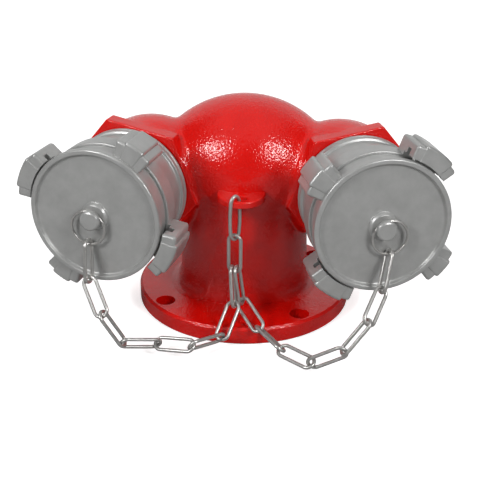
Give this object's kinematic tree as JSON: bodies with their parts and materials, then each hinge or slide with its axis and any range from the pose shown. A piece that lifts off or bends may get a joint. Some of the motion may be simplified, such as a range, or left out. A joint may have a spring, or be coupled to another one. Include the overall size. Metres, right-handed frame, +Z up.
{
  "type": "fire department connection",
  "caption": "Flanged cast siamese body with toed-out bayonet hose inlets, chained twist-off caps and inner swing clappers.",
  "frame": {"origin": "centre of the base flange's bottom face", "axes": "+Z up through the body, +X to the right inlet as seen from the front, the inlets face -Y and toe outwards"},
  "size_m": [0.351, 0.2482, 0.187],
  "materials": {
    "red_paint": "glossy enamel over sand-cast iron, slightly uneven",
    "cast_aluminium": "satin grey casting",
    "bright_steel": "bright zinc-plated wire",
    "rubber": "matt black",
    "bronze": "as-cast bronze"
  },
  "bodies": {
    "connection": {"body_casting": "red_paint", "left_inlet_coupling": "cast_aluminium", "left_coupling_washer": "rubber", "left_coupling_seal": "rubber", "left_cap_ring": "bright_steel", "left_clapper_pin": "bright_steel", "right_inlet_coupling": "cast_aluminium", "right_coupling_washer": "rubber", "right_coupling_seal": "rubber", "right_cap_ring": "bright_steel", "right_clapper_pin": "bright_steel", "ear_link": "bright_steel", "common_link": "bright_steel", "left_chain_link_1": "bright_steel", "left_chain_link_2": "bright_steel", "left_chain_link_3": "bright_steel", "left_chain_link_4": "bright_steel", "left_chain_link_5": "bright_steel", "left_chain_link_6": "bright_steel", "left_chain_link_7": "bright_steel", "left_chain_link_8": "bright_steel", "right_chain_link_1": "bright_steel", "right_chain_link_2": "bright_steel", "right_chain_link_3": "bright_steel", "right_chain_link_4": "bright_steel", "right_chain_link_5": "bright_steel", "right_chain_link_6": "bright_steel", "right_chain_link_7": "bright_steel", "right_chain_link_8": "bright_steel"},
    "left_cap_assembly": {"left_cap": "cast_aluminium", "left_cap_seal": "rubber"},
    "left_clapper_assembly": {"left_clapper": "bronze", "left_clapper_facing": "rubber", "left_clapper_retainer": "bronze", "left_clapper_screw": "bronze"},
    "right_cap_assembly": {"right_cap": "cast_aluminium", "right_cap_seal": "rubber"},
    "right_clapper_assembly": {"right_clapper": "bronze", "right_clapper_facing": "rubber", "right_clapper_retainer": "bronze", "right_clapper_screw": "bronze"}
  },
  "joints": [
    {"name": "left_cap_twist", "type": "hinge", "parent": "connection", "child": "left_cap_assembly", "pos_m": [-0.092, -0.02, 0.116], "axis": [-0.2453, -0.9694, 0], "range_deg": [0, 45]},
    {"name": "left_clapper_swing", "type": "hinge", "parent": "connection", "child": "left_clapper_assembly", "pos_m": [-0.08918, -0.00885, 0.153], "axis": [0.9694, -0.2453, 0], "range_deg": [0, 40]},
    {"name": "right_cap_twist", "type": "hinge", "parent": "connection", "child": "right_cap_assembly", "pos_m": [0.092, -0.02, 0.116], "axis": [0.2453, -0.9694, 0], "range_deg": [0, 45]},
    {"name": "right_clapper_swing", "type": "hinge", "parent": "connection", "child": "right_clapper_assembly", "pos_m": [0.08918, -0.00885, 0.153], "axis": [0.9694, 0.2453, 0], "range_deg": [0, 40]}
  ]
}
